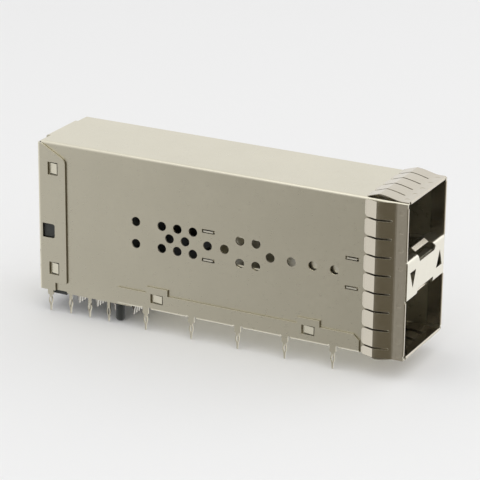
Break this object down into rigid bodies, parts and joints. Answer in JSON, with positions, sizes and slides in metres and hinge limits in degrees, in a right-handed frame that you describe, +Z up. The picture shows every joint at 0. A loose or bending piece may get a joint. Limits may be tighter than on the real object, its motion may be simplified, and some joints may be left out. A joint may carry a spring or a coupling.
{
  "type": "stacked sfp cage",
  "caption": "Press-fit sheet-metal cage that stacks one pluggable-transceiver port over another, with spring-finger gaskets at the mouth and a built-in right-angle connector at the rear.",
  "frame": {"origin": "On the board plane (the underside of the connector's tail organiser), midway between the two locating pegs", "axes": "+X across the cage, +Y from the ports towards the rear plate, +Z up from the board"},
  "size_m": [0.016, 0.0637, 0.0292],
  "materials": {
    "shell_metal": "matt tin-nickel plated sheet",
    "divider_metal": "bright plated sheet",
    "spring_metal": "satin spring strip",
    "housing_plastic": "glass-filled moulding",
    "wafer_plastic": "moulded frame",
    "contact_metal": "gold-flashed copper alloy"
  },
  "bodies": {
    "root": {"upper_shell": "shell_metal", "bottom_shell": "shell_metal", "rear_plate": "shell_metal", "divider": "divider_metal", "upper_latch_spring": "spring_metal", "lower_latch_spring": "spring_metal", "left_gasket": "spring_metal", "right_gasket": "spring_metal", "top_gasket": "spring_metal", "bottom_gasket": "spring_metal", "connector_housing": "housing_plastic", "tail_organiser": "housing_plastic", "wafer_1": "wafer_plastic", "wafer_2": "wafer_plastic", "wafer_3": "wafer_plastic", "wafer_4": "wafer_plastic", "wafer_5": "wafer_plastic", "wafer_6": "wafer_plastic", "wafer_7": "wafer_plastic", "wafer_8": "wafer_plastic", "wafer_9": "wafer_plastic", "wafer_10": "wafer_plastic", "contacts_1": "contact_metal", "contacts_2": "contact_metal", "contacts_3": "contact_metal", "contacts_4": "contact_metal", "contacts_5": "contact_metal", "contacts_6": "contact_metal", "contacts_7": "contact_metal", "contacts_8": "contact_metal", "contacts_9": "contact_metal", "contacts_10": "contact_metal"}
  },
  "joints": []
}
